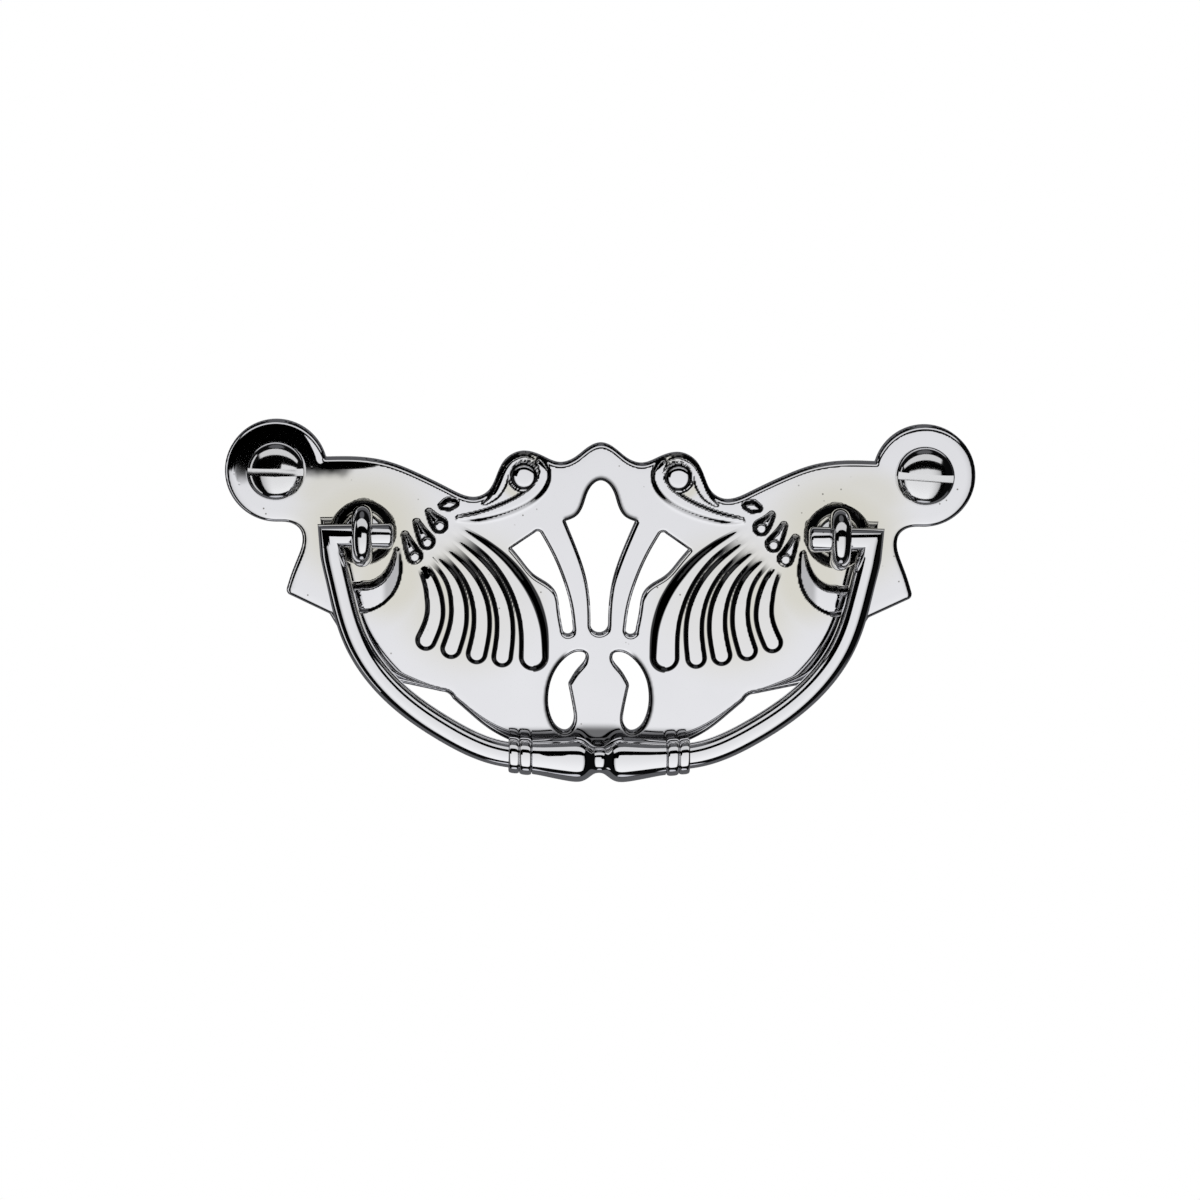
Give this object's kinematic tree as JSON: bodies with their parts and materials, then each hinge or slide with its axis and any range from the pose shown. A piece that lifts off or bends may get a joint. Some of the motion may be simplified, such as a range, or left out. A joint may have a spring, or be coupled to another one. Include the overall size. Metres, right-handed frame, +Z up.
{
  "type": "drop pull",
  "caption": "Chromed drop pull for a drawer: an openwork back plate with fan ribs, ring eyes riveted through it, a bail handle swinging in them, and round-head wood screws.",
  "frame": {"origin": "on the back face of the plate, midway between the two screw holes", "axes": "+X to the right as seen from the front, +Y into the drawer front, +Z up"},
  "size_m": [0.088, 0.0239, 0.0418],
  "materials": {
    "plated_casting": "bright chrome plate over a cast relief, with small pits and a warm tone in the crevices",
    "plated_bail": "bright chrome plate, smooth, with slight casting waves",
    "plated_eye": "bright chrome plate",
    "plated_screw": "bright chrome plate with a cut driving slot"
  },
  "bodies": {
    "plate": {"back_plate": "plated_casting", "left_eye_post": "plated_eye", "right_eye_post": "plated_eye", "left_fixing_screw": "plated_screw", "right_fixing_screw": "plated_screw"},
    "bail": {"bail_handle": "plated_bail"}
  },
  "joints": [
    {"name": "bail_hinge", "type": "hinge", "parent": "plate", "child": "bail", "pos_m": [0, -0.0063, -0.0071], "axis": [-1, 0, 0], "range_deg": [-3, 185]}
  ]
}
